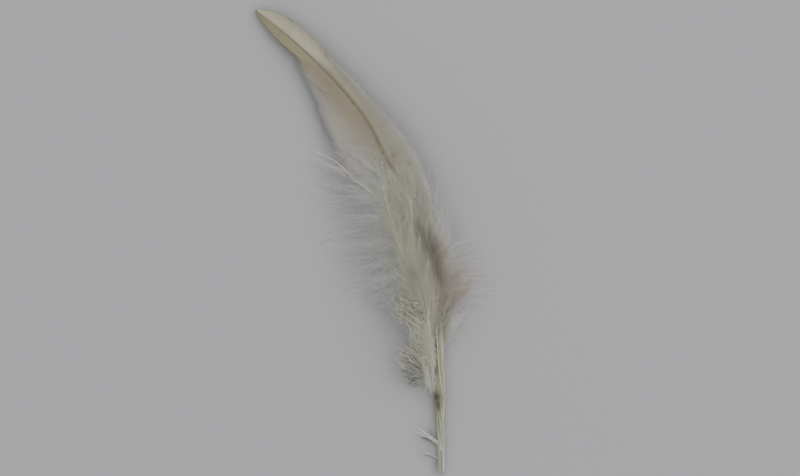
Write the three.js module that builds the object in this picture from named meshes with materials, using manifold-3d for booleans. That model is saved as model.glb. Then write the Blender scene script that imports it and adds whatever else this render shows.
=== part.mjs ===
// A goose feather lying flat, the face with the small afterfeather upwards.
// A tapered shaft carries a narrow right vane and a broad left vane. Near the tip the vanes are smooth sheets of barbs,
// and further down they break up into loose downy locks. A second, downy plume leaves the shaft beside its small pit.
// Millimetres, +Z up, the surface it lies on at z = 0, +Y along the quill towards the tip.
import * as THREE from "three";
import { mergeVertices } from "three/addons/utils/BufferGeometryUtils.js";
import Module from "manifold-3d";

const wasm = await Module();
wasm.setup();

// Driving dimensions. Outlines are drawn from the quill's end: x to its right, y up towards the tip.
const gap = 0.3; // between touching pieces
const shaftSides = 8;
const shaftSteps = 40;
const shaftStations = [
  // x, y, height of the underside, radius
  [-0.4, 0.0, 0.0, 0.8],
  [-0.5, 6.5, 0.0, 1.0],
  [-0.65, 13.0, 0.0, 1.1],
  [-0.9, 19.5, 0.0, 1.42],
  [-0.7, 27.0, 0.3, 1.15],
  [-0.8, 37.5, 1.4, 1.0],
  [-2.0, 50.0, 3.2, 0.85],
  [-5.0, 62.0, 4.4, 0.65],
  [-9.5, 72.3, 4.7, 0.52],
  [-14.8, 81.5, 4.6, 0.45],
  [-19.9, 91.3, 4.2, 0.38],
  [-28.3, 101.6, 3.5, 0.32],
  [-38.6, 111.6, 2.7, 0.25],
  [-48.6, 119.9, 1.6, 0.14],
];
const pit = { station: 2.8, length: 4.6, width: 1.3, depth: 0.9, toLeft: 0.65 };

// The sheet of each vane, from where the down begins to the tip.
const sheetRows = 30;
const sheetColumns = 4;
const sheetThickness = { root: 0.6, edge: 0.33 };
const ribHeight = 0.14; // alternate groups of barbs stand this proud
const edgeNotch = 0.35; // and end this much further out
const leftSheet = {
  side: -1,
  stations: [7.0, 12.86],
  edge: [
    [-19.0, 72.2],
    [-23.8, 77.9],
    [-27.7, 83.8],
    [-30.8, 90.2],
    [-33.4, 97.2],
    [-36.1, 103.1],
    [-38.4, 107.6],
    [-42.2, 111.4],
    [-45.4, 114.7],
    [-48.8, 119.3],
  ],
  edgeHeights: [2.9, 2.8, 2.7, 2.5, 2.3, 2.1, 2.0, 1.9, 1.7, 1.5],
};
const rightSheet = {
  side: 1,
  stations: [6.9, 12.86],
  edge: [
    [-1.7, 65.5],
    [-2.6, 71.5],
    [-4.7, 77.6],
    [-7.9, 84.4],
    [-12.6, 90.5],
    [-19.2, 97.8],
    [-26.9, 105.7],
    [-33.1, 112.0],
    [-38.4, 116.6],
    [-43.4, 119.4],
    [-48.0, 120.1],
  ],
  edgeHeights: [5.0, 4.9, 4.7, 4.3, 3.9, 3.5, 3.1, 2.8, 2.4, 2.0, 1.7],
};

// Families of downy locks. Roots run between two stations, and tips along a line of x, y points from the lowest lock up.
// A lock leaves its stem at an angle in degrees. Layers are taken in turn: how far along its way a lock reaches, how high
// it bows, and the height of its tip. A fused family grows from its stem, and any other keeps the gap to it.
const lockSteps = 5;
const lockThickness = { root: 1.1, tip: 0.4 };
const lockRootShare = 0.32; // half width at the root, over the lock's width
const lockUnevenness = 0.14; // share by which widths differ
const leftDown = {
  side: -1,
  count: 22,
  stations: [4.9, 7.9],
  leave: 30,
  width: 3.0,
  tips: [
    [-17.5, 45.6],
    [-22.5, 46.2],
    [-29.6, 49.0],
    [-30.9, 56.5],
    [-33.0, 64.0],
    [-34.4, 71.5],
    [-34.2, 81.9],
    [-27.0, 84.0],
  ],
  layers: [
    { reach: 1.0, bow: 0.6, tipHeight: 0.2 },
    { reach: 0.92, bow: 1.8, tipHeight: 1.7 },
    { reach: 0.97, bow: 1.2, tipHeight: 0.9 },
    { reach: 0.84, bow: 2.6, tipHeight: 2.9 },
  ],
};
const upperClump = {
  side: -1,
  count: 5,
  stations: [4.45, 5.0],
  leave: 30,
  width: 1.8,
  tips: [
    [-8.6, 38.4],
    [-12.2, 39.8],
    [-14.4, 43.2],
    [-15.3, 47.2],
  ],
  layers: [
    { reach: 1.0, bow: 0.5, tipHeight: 0.2 },
    { reach: 0.94, bow: 1.0, tipHeight: 1.1 },
  ],
};
const lowerClump = {
  side: -1,
  count: 7,
  stations: [3.75, 4.5],
  leave: 38,
  width: 1.9,
  tips: [
    [-4.6, 21.2],
    [-7.6, 21.2],
    [-10.4, 22.8],
    [-13.4, 27.0],
    [-12.4, 30.2],
    [-13.0, 33.4],
  ],
  layers: [
    { reach: 1.0, bow: 0.3, tipHeight: 0.2 },
    { reach: 0.92, bow: 0.7, tipHeight: 0.9 },
  ],
};
const rightDown = {
  side: 1,
  count: 17,
  stations: [4.5, 6.95],
  leave: 20,
  width: 3.0,
  tips: [
    [5.6, 38.6],
    [11.4, 41.4],
    [15.2, 45.6],
    [16.9, 49.6],
    [13.4, 55.4],
    [8.8, 60.2],
    [4.2, 64.8],
    [1.0, 70.0],
    [-1.7, 78.4],
  ],
  layers: [
    { reach: 1.0, bow: 0.6, tipHeight: 0.2 },
    { reach: 0.88, bow: 2.2, tipHeight: 3.4 },
    { reach: 0.96, bow: 1.4, tipHeight: 1.6 },
  ],
};

// Single barbs left along the bare quill.
const quillBarbsLeft = {
  fused: true,
  side: -1,
  count: 3,
  stations: [0.35, 1.35],
  leave: 62,
  width: 0.7,
  tips: [
    [-6.2, 5.2],
    [-6.9, 10.1],
    [-3.9, 11.2],
  ],
  layers: [{ reach: 1.0, bow: 0.3, tipHeight: 0.25 }],
};
const quillBarbsRight = {
  fused: true,
  side: 1,
  count: 1,
  stations: [1.1, 1.1],
  leave: 60,
  width: 0.6,
  tips: [
    [2.3, 8.2],
    [2.4, 8.3],
  ],
  layers: [{ reach: 1.0, bow: 0.1, tipHeight: 0.4 }],
};

// The afterfeather's own stem, and its locks on both sides.
const stemStations = [
  // x, y, height of the middle, radius
  [-2.3, 17.0, 2.55, 0.22],
  [-3.0, 24.0, 3.1, 0.5],
  [-3.7, 32.0, 3.9, 0.52],
  [-4.2, 40.0, 5.0, 0.45],
  [-5.6, 48.0, 6.6, 0.36],
  [-8.0, 56.0, 7.9, 0.22],
];
const plumeLeft = {
  fused: true,
  side: -1,
  count: 9,
  stations: [2.3, 4.8],
  leave: 26,
  width: 2.5,
  tips: [
    [-14.0, 47.4],
    [-15.4, 51.6],
    [-15.2, 56.4],
    [-13.4, 60.6],
    [-11.4, 63.6],
    [-8.9, 65.8],
  ],
  layers: [
    { reach: 1.0, bow: 0.7, tipHeight: 7.2 },
    { reach: 0.88, bow: 1.3, tipHeight: 8.0 },
  ],
};
const plumeRight = {
  fused: true,
  side: 1,
  count: 5,
  stations: [2.6, 4.7],
  leave: 12,
  width: 2.2,
  tips: [
    [-1.6, 51.5],
    [-3.2, 57.0],
    [-4.8, 62.5],
    [-6.8, 67.2],
  ],
  layers: [
    { reach: 1.0, bow: 0.5, tipHeight: 7.9 },
    { reach: 0.9, bow: 0.9, tipHeight: 8.4 },
  ],
};

// Its longest locks lie over the shaft and the lower ends of both sheets.
const crestLeft = {
  fused: true,
  side: -1,
  count: 4,
  stations: [3.9, 4.9],
  leave: 10,
  width: 3.2,
  tips: [
    [-14.2, 70.0],
    [-18.6, 76.0],
    [-18.8, 82.0],
    [-15.0, 83.0],
  ],
  layers: [
    { reach: 1.0, bow: 0.5, tipHeight: 7.0 },
    { reach: 0.92, bow: 0.8, tipHeight: 7.8 },
  ],
};
const crestRight = {
  fused: true,
  side: 1,
  count: 4,
  stations: [3.8, 4.8],
  leave: 4,
  width: 3.2,
  tips: [
    [-2.6, 68.0],
    [-3.4, 75.0],
    [-6.6, 79.6],
    [-11.4, 82.0],
  ],
  layers: [
    { reach: 1.0, bow: 0.5, tipHeight: 7.0 },
    { reach: 0.92, bow: 0.8, tipHeight: 7.8 },
  ],
};

function curveThrough(rows) {
  const points = rows.map(([x, y = 0, z = 0]) => new THREE.Vector3(x, y, z));
  return new THREE.CatmullRomCurve3(points, false, "catmullrom", 0.5);
}

// A stem is a line of stations with a radius. at(station) gives its middle, radius and the ways along and to its right.
function makeStem(stations, middleHeight) {
  const line = curveThrough(stations);
  const radii = curveThrough(stations.map(([, , , radius]) => [radius]));
  const last = stations.length - 1;
  return {
    last,
    at(station) {
      const t = THREE.MathUtils.clamp(station / last, 0, 1);
      const centre = line.getPoint(t);
      const radius = radii.getPoint(t).x;
      const along = line.getTangent(t);
      const right = new THREE.Vector3(along.y, -along.x, 0).normalize();
      centre.z = middleHeight(centre.z, radius);
      return { centre, radius, along, right };
    },
  };
}

const flatShare = Math.cos(Math.PI / shaftSides); // middle to flat of the shaft's section, over its radius
const shaft = makeStem(
  shaftStations,
  (underside, radius) => Math.max(0, underside) + radius * flatShare,
);
const stem = makeStem(stemStations, (middle) => middle);

// Moves every vertex of a closed three.js geometry to where place says.
function reshape(geometry, place) {
  geometry.deleteAttribute("normal");
  geometry.deleteAttribute("uv");
  const position = geometry.attributes.position;
  const vertex = new THREE.Vector3();
  for (let i = 0; i < position.count; i++) {
    vertex.fromBufferAttribute(position, i);
    const placed = place(vertex);
    position.setXYZ(i, placed.x, placed.y, placed.z);
  }
  return mergeVertices(geometry, 1e-4);
}

function offset(frame, toRight, upward) {
  const point = frame.centre.clone().addScaledVector(frame.right, toRight);
  point.z += upward;
  return point;
}

// A round tapered rod along a stem, with a flat underside.
function rod(along, steps) {
  const section = new THREE.CylinderGeometry(1, 1, 1, shaftSides, steps, false, Math.PI / shaftSides);
  return reshape(section, ({ x, y, z }) => {
    const frame = along.at((y + 0.5) * along.last);
    return offset(frame, x * frame.radius, z * frame.radius);
  });
}

// The smooth part of a vane: a thin ribbed sheet from the shaft's side to the edge line.
function sheet({ side, stations, edge, edgeHeights }) {
  const edgeLine = curveThrough(edge.map(([x, y], i) => [x, y, edgeHeights[i]]));
  const box = new THREE.BoxGeometry(1, 1, 1, sheetColumns, sheetRows, 1);
  return reshape(box, ({ x, y, z }) => {
    const outward = 0.5 + side * x;
    const upward = y + 0.5;
    const root = shaft.at(THREE.MathUtils.lerp(stations[0], stations[1], upward));
    const inner = offset(root, side * (root.radius + gap), 0);
    const outer = edgeLine.getPoint(upward);
    const odd = Math.round(upward * sheetRows) % 2;
    const way = new THREE.Vector3(outer.x - inner.x, outer.y - inner.y, 0);
    const reach = outward * (1 + (odd * edgeNotch) / Math.max(way.length(), 1));
    const thickness = THREE.MathUtils.lerp(sheetThickness.root, sheetThickness.edge, outward);
    const rib = odd * ribHeight * 4 * outward * (1 - outward);
    const placed = inner.clone().addScaledVector(way, reach);
    placed.z = THREE.MathUtils.lerp(inner.z, outer.z, outward ** 2) + z * thickness + rib;
    placed.z = Math.max(0, placed.z);
    return placed;
  });
}

// One lock: a curved blade, wide in its middle and thin at its tip, that leaves the stem at an angle.
function lock(family, carrier, index) {
  const share = family.count > 1 ? index / (family.count - 1) : 0.5;
  const layer = family.layers[index % family.layers.length];
  const width = family.width * (1 + lockUnevenness * Math.sin(2.4 * index));
  const leave = THREE.MathUtils.degToRad(family.leave);
  const root = carrier.at(THREE.MathUtils.lerp(...family.stations, share));
  const clear = family.fused ? -0.2 : gap + width * lockRootShare * Math.cos(leave);
  const start = offset(root, family.side * (root.radius + clear), 0);
  const end = curveThrough(family.tips).getPoint(share);
  end.lerpVectors(start, end, layer.reach);
  end.z = layer.tipHeight;
  const heading = root.along.clone().setZ(0).normalize();
  heading.applyAxisAngle(new THREE.Vector3(0, 0, 1), leave * -family.side);
  const reach = start.distanceTo(end);
  const rise = start.clone().addScaledVector(heading, reach / 3);
  const bend = end.clone().lerp(start.clone().addScaledVector(heading, reach / 2), 2 / 3);
  bend.z = THREE.MathUtils.lerp(end.z, start.z, 0.4) + 2 * layer.bow;
  const line = new THREE.CubicBezierCurve3(start, rise, bend, end);
  const blade = new THREE.CylinderGeometry(1, 1, 1, 4, lockSteps);
  return reshape(blade, ({ x, y, z }) => {
    const t = y + 0.5;
    const along = line.getTangent(t);
    const right = new THREE.Vector3(along.y, -along.x, 0).normalize();
    const halfWidth = width * (lockRootShare + 0.75 * t * (1 - t) - 0.25 * t ** 4);
    const thickness = THREE.MathUtils.lerp(lockThickness.root, lockThickness.tip, t);
    const placed = line.getPoint(t).addScaledVector(right, x * halfWidth);
    placed.z = Math.max(0, placed.z + (z * thickness) / 2);
    return placed;
  });
}

function locks(family, carrier) {
  return Array.from({ length: family.count }, (_, index) => lock(family, carrier, index));
}

// Closed geometry to a manifold-3d solid, and back.
function toSolid(geometry) {
  const vertProperties = geometry.attributes.position.array;
  const triVerts = new Uint32Array(geometry.index.array);
  return new wasm.Manifold(new wasm.Mesh({ numProp: 3, vertProperties, triVerts }));
}

function toGeometry(solid) {
  const { vertProperties, triVerts } = solid.getMesh();
  const geometry = new THREE.BufferGeometry();
  geometry.setAttribute("position", new THREE.BufferAttribute(vertProperties, 3));
  geometry.setIndex(new THREE.BufferAttribute(triVerts, 1));
  geometry.computeVertexNormals();
  return geometry;
}

function joined(geometries) {
  return geometries.map(toSolid).reduce((sum, next) => sum.add(next));
}

// The small pit on the shaft's upper side, where the afterfeather leaves it.
function pitTool() {
  const frame = shaft.at(pit.station);
  const ball = new THREE.SphereGeometry(0.5, 10, 8);
  return reshape(ball, ({ x, y, z }) =>
    offset(frame, x * pit.width - pit.toLeft, frame.radius + z * 2 * pit.depth).addScaledVector(
      frame.along,
      y * pit.length,
    ),
  );
}

const horn = { color: 0xd8d3b0, roughness: 0.35, metalness: 0 };
const cream = { color: 0xd9d0bd, roughness: 0.7, metalness: 0 };
const palerCream = { color: 0xe0dacb, roughness: 0.7, metalness: 0 };
const down = { color: 0xdcd8ce, roughness: 0.9, metalness: 0 };

const pieces = [
  {
    name: "shaft",
    finish: horn,
    solid: joined([
      rod(shaft, shaftSteps),
      ...locks(quillBarbsLeft, shaft),
      ...locks(quillBarbsRight, shaft),
    ]).subtract(toSolid(pitTool())),
  },
  {
    name: "left_vane",
    finish: cream,
    solid: joined([
      sheet(leftSheet),
      ...locks(leftDown, shaft),
      ...locks(upperClump, shaft),
      ...locks(lowerClump, shaft),
    ]),
  },
  {
    name: "right_vane",
    finish: palerCream,
    solid: joined([sheet(rightSheet), ...locks(rightDown, shaft)]),
  },
  {
    name: "afterfeather",
    finish: down,
    solid: joined([
      rod(stem, 12),
      ...[plumeLeft, plumeRight, crestLeft, crestRight].flatMap((family) => locks(family, stem)),
    ]),
  },
];

const feather = new THREE.Group();
feather.name = "feather";
for (const { name, finish, solid } of pieces) {
  const mesh = new THREE.Mesh(toGeometry(solid), new THREE.MeshStandardMaterial(finish));
  mesh.name = name;
  feather.add(mesh);
}

// The origin is on the surface, under the middle of the whole feather.
const bounds = new THREE.Box3().setFromObject(feather);
const middle = bounds.getCenter(new THREE.Vector3());
feather.position.set(-middle.x, -middle.y, -bounds.min.z);

export default feather;
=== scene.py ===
import math

import bpy
import numpy as np
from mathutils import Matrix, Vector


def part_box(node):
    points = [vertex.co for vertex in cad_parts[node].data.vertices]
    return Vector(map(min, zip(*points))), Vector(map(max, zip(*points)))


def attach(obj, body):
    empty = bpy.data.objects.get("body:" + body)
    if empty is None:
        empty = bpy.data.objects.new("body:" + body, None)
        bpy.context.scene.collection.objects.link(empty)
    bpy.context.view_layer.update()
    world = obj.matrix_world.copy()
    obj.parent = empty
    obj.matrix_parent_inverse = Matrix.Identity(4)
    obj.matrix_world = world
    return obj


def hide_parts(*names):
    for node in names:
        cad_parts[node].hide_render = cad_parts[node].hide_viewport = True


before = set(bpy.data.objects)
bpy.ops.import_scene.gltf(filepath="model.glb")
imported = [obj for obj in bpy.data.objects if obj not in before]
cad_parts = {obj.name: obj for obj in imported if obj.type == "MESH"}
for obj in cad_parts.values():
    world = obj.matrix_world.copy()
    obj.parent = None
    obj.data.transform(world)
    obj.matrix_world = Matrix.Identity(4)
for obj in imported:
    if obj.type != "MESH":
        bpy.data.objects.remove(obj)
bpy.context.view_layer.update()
mm = 0.001
draw = np.random.default_rng(1878)  # every random choice comes from here

# Outlines below are drawn in millimetres from the quill's end, x to its right and y towards the tip.
drawnShaftCorner = np.array([-48.69, -0.01])  # the shaft's lowest x and y in that drawing
shaftCorner = np.array(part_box("shaft")[0][:2]) / mm
drawingToFrame = np.append(shaftCorner - drawnShaftCorner, 0.0)

shaft = {
    "rows": [  # x, y, height of the underside, radius
        (-0.4, 0.0, 0.0, 0.8),
        (-0.5, 6.5, 0.0, 1.0),
        (-0.65, 13.0, 0.0, 1.1),
        (-0.9, 19.5, 0.0, 1.42),
        (-0.7, 27.0, 0.3, 1.15),
        (-0.8, 37.5, 1.4, 1.0),
        (-2.0, 50.0, 3.2, 0.85),
        (-5.0, 62.0, 4.4, 0.65),
        (-9.5, 72.3, 4.7, 0.52),
        (-14.8, 81.5, 4.6, 0.45),
        (-19.9, 91.3, 4.2, 0.38),
        (-28.3, 101.6, 3.5, 0.32),
        (-38.6, 111.6, 2.7, 0.25),
        (-48.6, 119.9, 1.6, 0.14),
    ],
    "onFloor": True,
}
stem = {
    "rows": [  # x, y, height of the middle, radius
        (-2.3, 17.0, 2.55, 0.22),
        (-3.0, 24.0, 3.1, 0.5),
        (-3.7, 32.0, 3.9, 0.52),
        (-4.2, 40.0, 5.0, 0.45),
        (-5.6, 48.0, 6.6, 0.36),
        (-8.0, 56.0, 7.9, 0.22),
    ],
    "onFloor": False,
}
rowNudge = 0.03  # a stem's direction is taken between two places this many rows either way


def splineAt(rows, place):  # place counts rows, from 0 to the last
    rows = np.asarray(rows, float)
    padded = np.vstack([2 * rows[0] - rows[1], rows, 2 * rows[-1] - rows[-2]])
    place = np.clip(np.asarray(place, float), 0, len(rows) - 1)
    row = np.minimum(place.astype(int), len(rows) - 2)
    t = (place - row)[..., None]
    a, b, c, d = (padded[row + k] for k in range(4))
    return 0.5 * (2 * b + (c - a) * t + (2 * a - 5 * b + 4 * c - d) * t**2 + (3 * (b - c) + d - a) * t**3)


def unit(v):
    return v / np.maximum(np.linalg.norm(v, axis=-1, keepdims=True), 1e-9)


def between(ends, share):
    return ends[0] + (ends[1] - ends[0]) * share


def fadeIn(value, start, end):  # 0 before start, 1 past end
    share = np.clip((value - start) / (end - start), 0, 1)
    return share * share * (3 - 2 * share)


def stemAt(carrier, place):
    row = splineAt(carrier["rows"], place)
    ahead = splineAt(carrier["rows"], np.add(place, rowNudge))
    behind = splineAt(carrier["rows"], np.subtract(place, rowNudge))
    along = unit((ahead - behind)[..., :3])
    right = unit(np.stack([along[..., 1], -along[..., 0], np.zeros_like(along[..., 0])], -1))
    centre = row[..., :3].copy()
    radius = row[..., 3:4]
    if carrier["onFloor"]:
        centre[..., 2:] = np.maximum(centre[..., 2:], 0) + radius
    return centre, radius, along, right


def curveAt(curves, which, t):  # cubic curves, each of four points: the place at t and the way along
    p = curves[which]
    t = t[:, None]
    s = 1 - t
    place = s**3 * p[:, 0] + 3 * s * s * t * p[:, 1] + 3 * s * t * t * p[:, 2] + t**3 * p[:, 3]
    slope = s * s * (p[:, 1] - p[:, 0]) + 2 * s * t * (p[:, 2] - p[:, 1]) + t * t * (p[:, 3] - p[:, 2])
    return place, unit(slope)


def turned(direction, degrees):  # about +Z
    angle = np.radians(degrees)
    x = direction[..., 0] * np.cos(angle) - direction[..., 1] * np.sin(angle)
    y = direction[..., 0] * np.sin(angle) + direction[..., 1] * np.cos(angle)
    return unit(np.stack([x, y, np.zeros_like(x)], -1))


def clearSelection():
    if bpy.context.object and bpy.context.object.mode != "OBJECT":
        bpy.ops.object.mode_set(mode="OBJECT")
    bpy.ops.object.select_all(action="DESELECT")


def selectOnly(obj):
    bpy.ops.object.select_all(action="DESELECT")
    obj.select_set(True)
    bpy.context.view_layer.objects.active = obj


def clearInside(kind):  # leaves no edge or face of the active mesh selected
    bpy.ops.object.mode_set(mode="EDIT")
    bpy.ops.mesh.select_mode(type=kind)
    bpy.ops.mesh.select_all(action="DESELECT")
    bpy.ops.object.mode_set(mode="OBJECT")


def modelRod(sides, cuts):  # along Z, of radius 1 and length 1, cut across
    clearSelection()
    bpy.ops.mesh.primitive_cylinder_add(vertices=sides, radius=1, depth=1, location=(0, 0, 0.5))
    rod = bpy.context.object
    bpy.ops.object.transform_apply()
    clearInside("EDGE")
    for edge in rod.data.edges:
        a, b = (rod.data.vertices[i].co for i in edge.vertices)
        edge.select = abs(a.z - b.z) > 0.5  # the long ones
    bpy.ops.object.mode_set(mode="EDIT")
    bpy.ops.mesh.subdivide(number_cuts=cuts)
    bpy.ops.object.mode_set(mode="OBJECT")
    return rod


def modelSpike():  # a barbule, along Z
    clearSelection()
    bpy.ops.mesh.primitive_cone_add(vertices=3, radius1=1, radius2=0, depth=1, location=(0, 0, 0.5))
    spike = bpy.context.object
    bpy.ops.object.transform_apply()
    return spike


def meshArrays(obj):  # its points and triangles, and the object is gone
    selectOnly(obj)
    bpy.ops.object.mode_set(mode="EDIT")
    bpy.ops.mesh.select_all(action="SELECT")
    bpy.ops.mesh.quads_convert_to_tris()
    bpy.ops.object.mode_set(mode="OBJECT")
    points = np.array([v.co for v in obj.data.vertices], float)
    faces = np.array([p.vertices[:] for p in obj.data.polygons], int)
    bpy.data.objects.remove(obj)
    return points, faces


# A round rib, a flat one and a barbule are modelled once here and copied along curves.
ribMaster = meshArrays(modelRod(3, 6))
flatMaster = meshArrays(modelRod(4, 5))
spikeMaster = meshArrays(modelSpike())
flatFrom = 2  # barbs that are flattened more than this are copies of the flat rib


def repeatFaces(faces, pointCount, copies):
    return (faces[None] + np.arange(copies)[:, None, None] * pointCount).reshape(-1, 3)


def rolledFrame(along, roll):  # across and over, at right angles to the way along
    right = unit(np.cross(along, [0.0, 0.0, 1.0]))
    over = np.cross(along, right)
    cos, sin = np.cos(roll)[:, None], np.sin(roll)[:, None]
    return right * cos + over * sin, over * cos - right * sin


def layRibs(master, curves, barb, roll, widths):
    points, faces = master
    count, size = len(curves), len(points)
    which = np.repeat(np.arange(count), size)
    t = np.tile(np.clip(points[:, 2], 0, 1), count)
    centre, along = curveAt(curves, which, t)
    across, over = rolledFrame(along, roll[which])
    half = (barb["rootHalf"] + (barb["tipHalf"] - barb["rootHalf"]) * t)[:, None] * widths[which, None]
    x = np.tile(points[:, 0], count)[:, None] * half * barb["flatten"]
    y = np.tile(points[:, 1], count)[:, None] * half
    return centre + across * x + over * y, repeatFaces(faces, size, count), which, t


barbuleLengths = (0.5, 1.2)  # shortest and longest, as shares of a barb's own setting


def layBarbules(curves, barb, roll, widths):
    points, faces = spikeMaster
    reach = np.linalg.norm(curves[:, 3] - curves[:, 0], axis=-1)
    perBarb = np.maximum((2 * barb["perSideMm"] * reach).astype(int), 2)
    barbOf = np.repeat(np.arange(len(curves)), perBarb)
    count, size = len(barbOf), len(points)
    t = barb["bareRoot"] + (1 - barb["bareRoot"]) * draw.uniform(0, 1, count)
    side = np.where(draw.random(count) < 0.5, 1.0, -1.0)
    lean = np.radians(draw.normal(*barb["lean"], count))
    lift = np.radians(draw.normal(*barb["lift"], count))
    length = barb["length"] * draw.uniform(*barbuleLengths, count)
    length = length * np.interp(t, *barb["envelope"]) * widths[barbOf]
    centre, along = curveAt(curves, barbOf, t)
    across, over = rolledFrame(along, roll[barbOf])
    out = across * (side * np.sin(lean) * np.cos(lift))[:, None]
    out += along * (np.cos(lean) * np.cos(lift))[:, None] - over * np.sin(lift)[:, None]
    first = unit(np.cross(out, over))
    second = np.cross(out, first)
    which = np.repeat(np.arange(count), size)
    shape = np.tile(points, (count, 1))
    placed = centre[which] + out[which] * (shape[:, 2] * length[which])[:, None]
    placed += (first[which] * shape[:, 0:1] + second[which] * shape[:, 1:2]) * barb["thick"]
    return placed, repeatFaces(faces, size, count), barbOf[which], t[which]


heightLimits = {
    "bends": 7.4,  # above this barbs bend over,
    "room": 1.6,  # and none gets further past it than this
    "lowest": 0.02,
}
stainAndShadeTaken = (0.3, 1.5)  # least and most of the brown stain and painted shade that single barbs take up


def growBarbs(curves, barb, shade, tilt=0.0, tiltSpread=0.35, widths=None):
    widths = np.ones(len(curves)) if widths is None else widths
    roll = draw.normal(tilt, tiltSpread, len(curves))
    master = flatMaster if barb["flatten"] > flatFrom else ribMaster
    browning = draw.uniform(*stainAndShadeTaken, len(curves))
    bends, room = heightLimits["bends"], heightLimits["room"]
    parts = []
    for (points, faces, barbOf, along), dullness in (
        (layRibs(master, curves, barb, roll, widths), barb["ribDullness"]),
        (layBarbules(curves, barb, roll, widths), 0),
    ):
        above = np.maximum(points[:, 2] - bends, 0) / room
        points[:, 2] = np.minimum(points[:, 2], bends) + np.tanh(above) * room
        points[:, 2] = np.maximum(points[:, 2], heightLimits["lowest"])
        stainAndShade = np.clip(stainAndShadeAt(points) * browning[barbOf], 0, 1)
        uneven = shade[barbOf] * (1 - dullness)
        part = {"points": points, "faces": faces, "along": along, "uneven": uneven, "stainAndShade": stainAndShade}
        parts.append(dict(part, barbOf=barbOf))
    return parts


# Brown stains, painted shade, golden and downy places are told by where a point lies.
stainsAndShade = [  # x, y, half width, half length, direction in degrees, strength
    # brown stain on the rachis with painted shade, in the slit where the down parts over the shaft
    (-6.0, 62.6, 0.9, 1.8, 110, 0.3),
    (-3.2, 58.0, 1.5, 3.6, 108, 0.42),
    (-1.6, 52.0, 1.5, 3.8, 102, 0.24),
    (5.2, 46.6, 0.8, 2.4, 40, 0.2),
    (3.2, 50.4, 0.5, 2.8, 62, 0.2),
    (6.8, 49.2, 0.5, 2.2, 35, 0.14),
    # painted shade in the small hollow at the root of the down's fan
    (-7.6, 51.2, 1.1, 1.7, 120, 0.1),
    # painted shade in the hollow of the lower clump
    (-7.2, 29.2, 1.4, 0.6, 170, 0.45),
    (-13.0, 81.6, 0.25, 1.3, 95, 0.4),
    (-8.9, 80.8, 0.25, 1.1, 95, 0.35),
    (-30.2, 108.4, 0.3, 0.7, 120, 0.5),
    (-39.6, 117.4, 0.25, 0.6, 120, 0.3),
    # the quill's pit: brown lining, with painted shade in and around the hollow
    (-1.9, 19.6, 1.2, 1.3, 100, 1.0),
    (-1.4, 17.4, 0.6, 2.2, 96, 0.9),
]
warmPlaces = [
    (-9.4, 63.0, 5.6, 17.0, 98, 1.0),
    (-6.4, 38.0, 4.6, 15.0, 98, 1.0),
]
blushes = [
    (3.6, 48.6, 3.2, 6.0, 60, 0.72),
    (0.2, 55.0, 1.8, 6.0, 95, 0.4),
    (-9.0, 50.6, 2.4, 3.0, 120, 0.2),
    (-27.0, 82.0, 4.0, 5.0, 120, 0.3),
]
patchEdge = 0.8  # how fast a patch fades outwards
downyFade = (57.0, 72.0)  # x + y where the down ends and the smooth vane begins
goldFade = (103.0, 108.5)  # y where the golden tip begins


def patchesAt(patches, points):
    amount = np.zeros(len(points))
    for x, y, halfWidth, halfLength, degrees, strength in patches:
        way = np.array([math.cos(math.radians(degrees)), math.sin(math.radians(degrees))])
        away = points[:, :2] - (x, y)
        along = away @ way / halfLength
        across = away @ np.array([way[1], -way[0]]) / halfWidth
        amount = np.maximum(amount, strength * np.exp(-patchEdge * (along**2 + across**2)))
    return amount


def stainAndShadeAt(points):
    return patchesAt(stainsAndShade, points)


def blushAt(points):
    return patchesAt(blushes, points)


def warmAt(points):
    return patchesAt(warmPlaces, points)


def downyAt(points):
    return 1 - fadeIn(points[:, 1] + points[:, 0], *downyFade)


def goldAt(points):  # the rolled edge near the tip
    return fadeIn(points[:, 1], *goldFade)


attributeMakers = {"downy": downyAt, "gold": goldAt, "warm": warmAt, "blush": blushAt}


def buildPiece(name, parts, material, node, smooth=False):
    points = np.vstack([p["points"] for p in parts])
    starts = np.cumsum([0] + [len(p["points"]) for p in parts[:-1]])
    faces = np.vstack([p["faces"] + s for p, s in zip(parts, starts)])
    mesh = bpy.data.meshes.new(name)
    mesh.vertices.add(len(points))
    mesh.vertices.foreach_set("co", ((points + drawingToFrame) * mm).astype(np.float32).ravel())
    mesh.loops.add(faces.size)
    mesh.loops.foreach_set("vertex_index", faces.astype(np.int32).ravel())
    mesh.polygons.add(len(faces))
    mesh.polygons.foreach_set("loop_start", (np.arange(len(faces)) * 3).astype(np.int32))
    values = {key: np.concatenate([p[key] for p in parts]) for key in ("along", "uneven", "stainAndShade")}
    values.update({key: make(points) for key, make in attributeMakers.items()})
    for key, value in values.items():
        mesh.attributes.new(key, "FLOAT", "POINT").data.foreach_set("value", value.astype(np.float32))
    mesh.update(calc_edges=True)
    mesh.validate()
    mesh.polygons.foreach_set("use_smooth", np.full(len(mesh.polygons), smooth))
    piece = bpy.data.objects.new(name, mesh)
    bpy.context.scene.collection.objects.link(piece)
    mesh.materials.append(material)
    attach(piece, "root")
    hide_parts(node)
    print(f"{name}: {len(faces)} triangles")


def newMaterial(name):
    material = bpy.data.materials.new(name)
    material.use_nodes = True
    return material, material.node_tree, material.node_tree.nodes["Principled BSDF"]


def attributeNode(tree, name):
    node = tree.nodes.new("ShaderNodeAttribute")
    node.attribute_name = name
    return node.outputs["Fac"]


def mixNode(tree, factor, first, second, blend="MIX"):
    node = tree.nodes.new("ShaderNodeMix")
    node.data_type = "RGBA"
    node.blend_type = blend
    for socket, value in ((node.inputs[0], factor), (node.inputs[6], first), (node.inputs[7], second)):
        if isinstance(value, bpy.types.NodeSocket):
            tree.links.new(value, socket)
        else:
            socket.default_value = value if socket == node.inputs[0] else (*value, 1)
    return node.outputs[2]


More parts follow.
